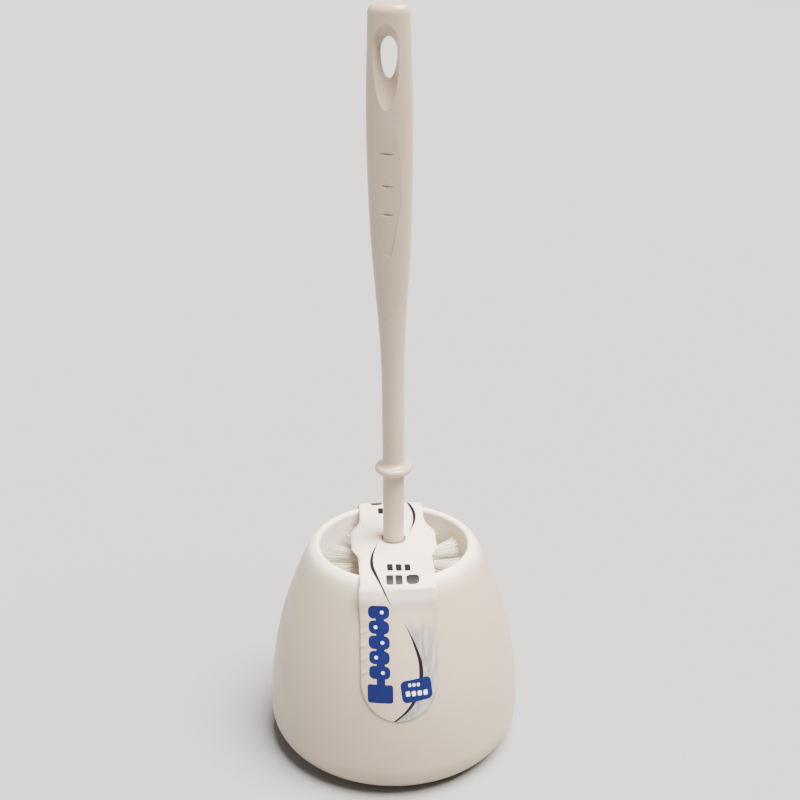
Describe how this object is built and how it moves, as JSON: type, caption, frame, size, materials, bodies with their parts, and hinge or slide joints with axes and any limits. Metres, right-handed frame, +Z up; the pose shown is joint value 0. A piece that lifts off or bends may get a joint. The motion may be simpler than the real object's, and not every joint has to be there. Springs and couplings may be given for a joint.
{
  "type": "toilet brush set",
  "caption": "Bell-shaped floor-standing toilet brush holder with a lift-out long-handled brush, its round bristle head, splash collar and a paper strip label.",
  "frame": {"origin": "centre of the circle the holder stands on, at floor level", "axes": "+Z up along the holder's and the brush's common axis; -Y the way the broad, grooved face of the grip looks; +X to the right of that face"},
  "size_m": [0.13, 0.13, 0.3771],
  "materials": {
    "holder_plastic": "smooth warm white moulding with a soft sheen",
    "cup_plastic": "smooth warm white moulding",
    "base_plastic": "plain warm white moulding",
    "core_plastic": "plain warm white moulding",
    "handle_plastic": "smooth warm white moulding with a soft sheen",
    "anchor_wire": "plain flat wire",
    "label_paper": null,
    "bristle": "fine translucent white filaments"
  },
  "bodies": {
    "holder": {"outer_shell": "holder_plastic", "inner_cup": "cup_plastic", "base_plate": "base_plastic"},
    "label": {"label": "label_paper"},
    "brush": {"handle": "handle_plastic", "head_core": "core_plastic", "tuft_anchors": "anchor_wire", "tuft_row_01": "bristle", "tuft_row_02": "bristle", "tuft_row_03": "bristle", "tuft_row_04": "bristle", "tuft_row_05": "bristle", "tuft_row_06": "bristle", "tuft_row_07": "bristle", "tuft_row_08": "bristle", "tuft_row_09": "bristle", "tuft_row_10": "bristle", "tuft_ring_lower": "bristle", "tuft_ring_end": "bristle"}
  },
  "joints": [
    {"name": "brush_lift", "type": "slide", "parent": "holder", "child": "label", "axis": [0, 0, 1], "range_m": [0, 0.13]},
    {"name": "brush_spin", "type": "hinge", "parent": "label", "child": "brush", "pos_m": [0, 0, 0.107], "axis": [0, 0, 1], "continuous": true}
  ]
}
